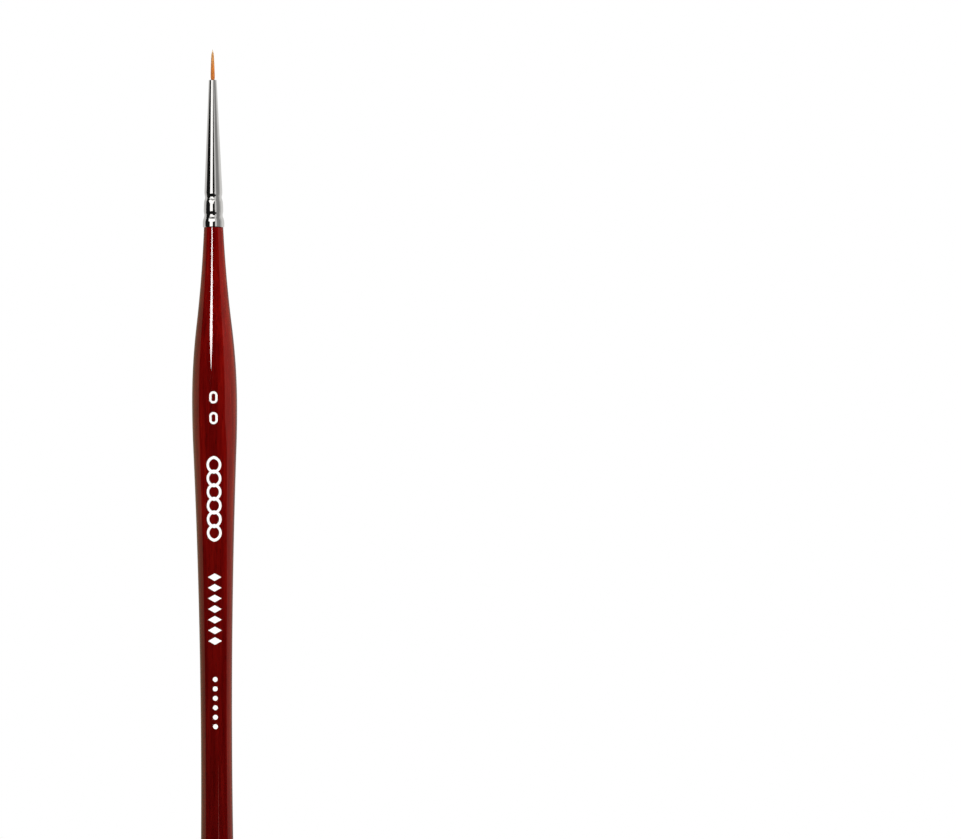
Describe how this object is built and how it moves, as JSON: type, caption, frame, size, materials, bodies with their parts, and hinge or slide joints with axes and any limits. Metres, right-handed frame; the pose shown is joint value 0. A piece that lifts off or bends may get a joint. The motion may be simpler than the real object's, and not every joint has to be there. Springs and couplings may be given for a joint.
{
  "type": "fine detail brush",
  "caption": "Fine detail paint brush: pointed synthetic tuft in a crimped conical ferrule on a slim turned red lacquered handle with a belly and a waist.",
  "frame": {"origin": "centre of the flat butt end of the handle", "axes": "+Z along the brush from the butt to the tip of the tuft; -Y is the printed front"},
  "size_m": [0.0076, 0.0076, 0.165],
  "materials": {
    "stained_wood": "sanded, stained",
    "red_lacquer": "high gloss, translucent",
    "nickel_plate": "polished nickel plate on brass",
    "tenon_glue": "cured wood glue",
    "root_resin": "cured epoxy",
    "binding_thread": "waxed",
    "synthetic_filament": "satin",
    "white_ink": "screen printed, satin"
  },
  "bodies": {
    "handle": {"handle_core": "stained_wood", "handle_lacquer": "red_lacquer", "ferrule": "nickel_plate", "tenon_glue": "tenon_glue", "root_resin": "root_resin", "binding_thread": "binding_thread", "print_numeral_upper": "white_ink", "print_numeral_lower": "white_ink", "print_cord": "white_ink", "print_lozenges": "white_ink", "print_dots": "white_ink"},
    "tuft": {"filament_centre": "synthetic_filament", "filament_ring_1": "synthetic_filament", "filament_ring_2": "synthetic_filament", "filament_ring_3": "synthetic_filament", "filament_ring_4": "synthetic_filament"}
  },
  "joints": [
    {"name": "tuft_bend", "type": "hinge", "parent": "handle", "child": "tuft", "pos_m": [0, 0, 0.1597], "axis": [0, 1, 0], "range_deg": [-40, 40], "stiffness_Nm_per_rad": 0.00002, "deforming": ["filament_centre", "filament_ring_1", "filament_ring_2", "filament_ring_3", "filament_ring_4"]}
  ]
}
